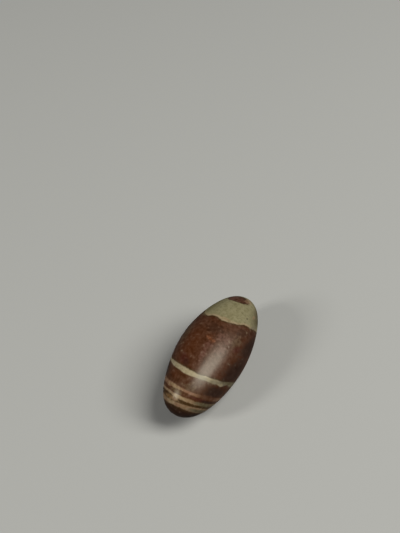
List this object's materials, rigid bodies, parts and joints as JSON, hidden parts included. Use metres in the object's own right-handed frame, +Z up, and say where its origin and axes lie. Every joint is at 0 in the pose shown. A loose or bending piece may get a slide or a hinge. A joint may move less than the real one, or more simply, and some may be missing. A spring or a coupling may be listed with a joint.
{
  "type": "shiva lingam stone",
  "caption": "Long egg-shaped river stone, polished, with red-brown and cream bands across it, lying on its side on a small worn flat.",
  "frame": {"origin": "middle of the stone's bounding box, on the surface that it lies on", "axes": "+X along the stone to its blunt, cream-capped tip, +Y across it, +Z up"},
  "size_m": [0.076, 0.034, 0.0318],
  "materials": {
    "polished_stone": "satin polish over red-brown, cream and grey-green bands"
  },
  "bodies": {
    "root": {"stone": "polished_stone"}
  },
  "joints": []
}
